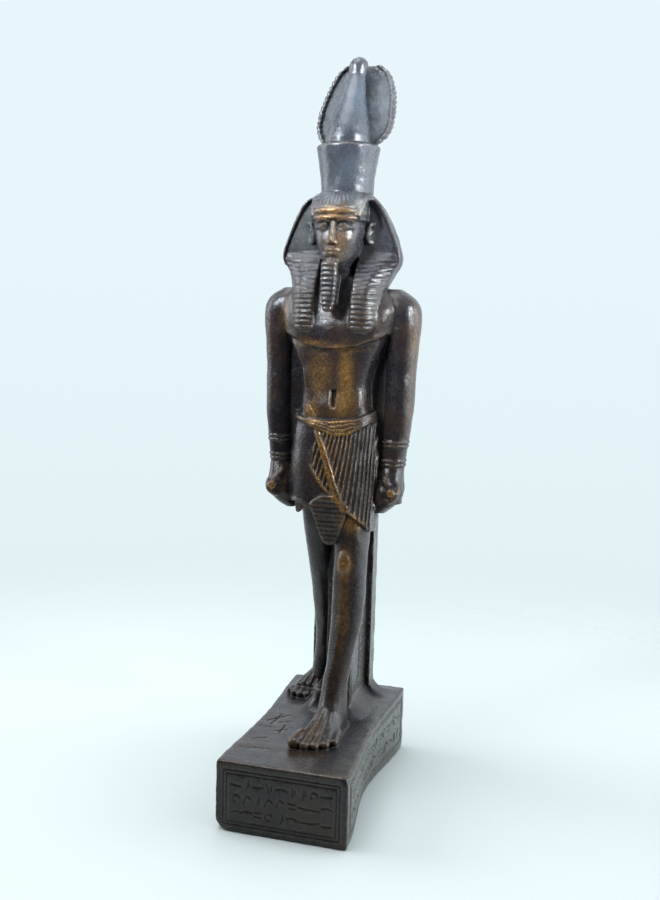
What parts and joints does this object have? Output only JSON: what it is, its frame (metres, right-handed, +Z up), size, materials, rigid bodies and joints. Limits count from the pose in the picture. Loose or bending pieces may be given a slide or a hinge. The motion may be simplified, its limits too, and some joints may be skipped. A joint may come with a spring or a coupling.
{
  "type": "pharaoh statue",
  "caption": "Standing pharaoh statuette in a pleated kilt and tall plumed crown, cast in one with its back pillar and waisted plinth",
  "frame": {"origin": "centre of the footprint, on the underside of the plinth", "axes": "+Z up along the figure, -Y the way the figure faces, +X to the figure's left"},
  "size_m": [0.0662, 0.0998, 0.2999],
  "materials": {
    "patina": "near-black brown, bronze-coloured patina over a cast resin body, semi-gloss, rubbed to gold brown on the raised parts"
  },
  "bodies": {
    "root": {"statue": "patina"}
  },
  "joints": []
}
